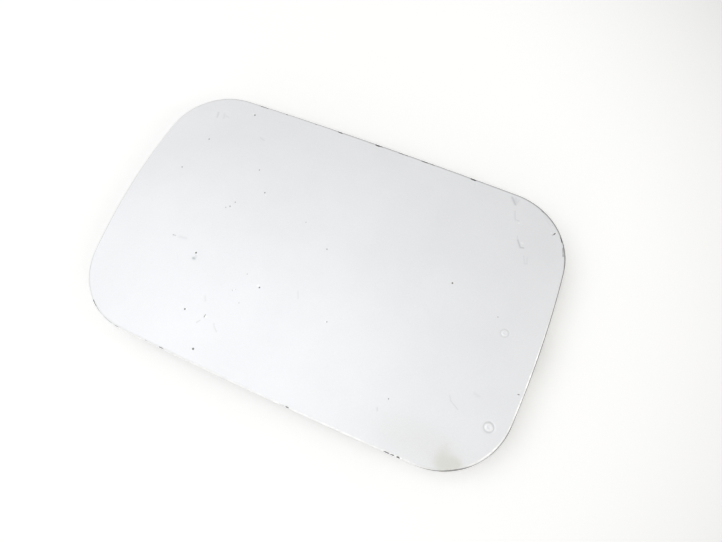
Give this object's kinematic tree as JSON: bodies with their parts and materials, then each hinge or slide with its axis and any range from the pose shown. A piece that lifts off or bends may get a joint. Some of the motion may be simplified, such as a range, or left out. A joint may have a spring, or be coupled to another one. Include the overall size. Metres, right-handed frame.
{
  "type": "fuel filler flap",
  "caption": "Painted steel fuel filler flap with a crowned, hemmed face, a pressed inner panel, a sprung hinge with its mounting arm, a catch lug and rubber buffers.",
  "frame": {"origin": "middle of the flap in plan, at the height of the hinge arm's mounting face and the buffers' tips", "axes": "+X along the flap towards its hinge end, +Y across the flap, +Z out of the painted face"},
  "size_m": [0.19, 0.1196, 0.015],
  "materials": {
    "silver_paint": "metallic paint under clear coat, worn",
    "inner_paint": "thin satin overspray of the face colour",
    "mastic": "matte",
    "zinc_steel": "zinc plated, dull",
    "spring_steel": "dark oiled",
    "bush_plastic": "moulded, natural",
    "buffer_rubber": "matte"
  },
  "bodies": {
    "arm": {"hinge_arm": "zinc_steel", "bush_upper": "bush_plastic", "bush_lower": "bush_plastic", "torsion_spring": "spring_steel"},
    "flap": {"outer_skin": "silver_paint", "inner_panel": "inner_paint", "mastic_pad_left": "mastic", "mastic_pad_right": "mastic", "hinge_bracket": "inner_paint", "hinge_pin": "zinc_steel", "pin_clip": "spring_steel", "catch_lug": "inner_paint", "buffer_upper": "buffer_rubber", "buffer_lower": "buffer_rubber"}
  },
  "joints": [
    {"name": "flap_hinge", "type": "hinge", "parent": "arm", "child": "flap", "pos_m": [0.0885, 0, 0.0072], "axis": [0, 1, 0], "range_deg": [0, 95], "stiffness_Nm_per_rad": 0.06, "springref_deg": -68.75, "deforming": ["torsion_spring"]}
  ]
}
